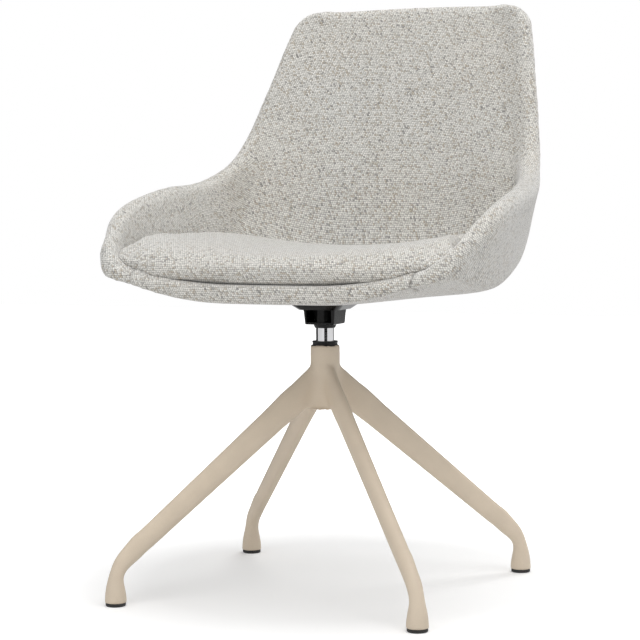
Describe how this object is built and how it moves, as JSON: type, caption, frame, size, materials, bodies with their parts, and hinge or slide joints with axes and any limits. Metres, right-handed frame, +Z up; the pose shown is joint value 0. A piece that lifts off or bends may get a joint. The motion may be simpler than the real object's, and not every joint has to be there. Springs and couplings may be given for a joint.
{
  "type": "swivel dining chair",
  "caption": "Upholstered bucket dining chair that swivels on a fixed-height column over a hub with tapered splayed legs.",
  "frame": {"origin": "on the floor, at the middle of the chair's footprint with the seat facing straight ahead; the swivel axis stands 79.6 mm in front of it", "axes": "+Z up, the sitter faces -Y, +X is the sitter's left"},
  "size_m": [0.6002, 0.6385, 0.8704],
  "materials": {
    "powder_coat": "satin, fine powder coat",
    "black_nylon": "moulded, matt",
    "bearing_steel": "ground and oiled",
    "cage_nylon": "moulded, natural",
    "chrome": "polished",
    "zinc_steel": "zinc plated",
    "spring_steel": "phosphated",
    "black_paint": "semi-gloss black",
    "black_fastener": "black oxide",
    "plywood": "moulded beech plywood, unfinished",
    "woven_fabric": "chunky flat weave, off-white with grey and beige flecks",
    "glide_plastic": "moulded, matt"
  },
  "bodies": {
    "base": {"base_hub": "powder_coat", "leg_front_left": "powder_coat", "leg_front_right": "powder_coat", "leg_rear_left": "powder_coat", "leg_rear_right": "powder_coat", "glide_front_left": "glide_plastic", "glide_front_right": "glide_plastic", "glide_rear_left": "glide_plastic", "glide_rear_right": "glide_plastic", "upper_bush": "black_nylon", "lower_bush": "black_nylon", "lower_race": "bearing_steel"},
    "bearing": {"bearing_cage": "cage_nylon", "bearing_balls": "bearing_steel"},
    "seat": {"column": "chrome", "upper_race": "bearing_steel", "retaining_washer": "zinc_steel", "retaining_clip": "spring_steel", "column_collar": "black_nylon", "swivel_bracket": "black_paint", "mounting_plate": "black_paint", "plate_bolts": "black_fastener", "plate_washers": "black_fastener", "tee_nuts": "zinc_steel", "shell_core": "plywood", "outer_cover": "woven_fabric", "inner_pad": "woven_fabric", "front_band": "woven_fabric", "cushion_base": "plywood", "seat_cushion": "woven_fabric"}
  },
  "joints": [
    {"name": "seat_swivel", "type": "hinge", "parent": "base", "child": "seat", "pos_m": [0, -0.0796, 0.285], "axis": [0, 0, 1], "continuous": true},
    {"name": "bearing_roll", "type": "hinge", "parent": "base", "child": "bearing", "pos_m": [0, -0.0796, 0.2805], "axis": [0, 0, 1], "continuous": true}
  ],
  "couplings": [
    {"joint": "bearing_roll", "follows": "seat_swivel", "ratio": 0.5}
  ]
}
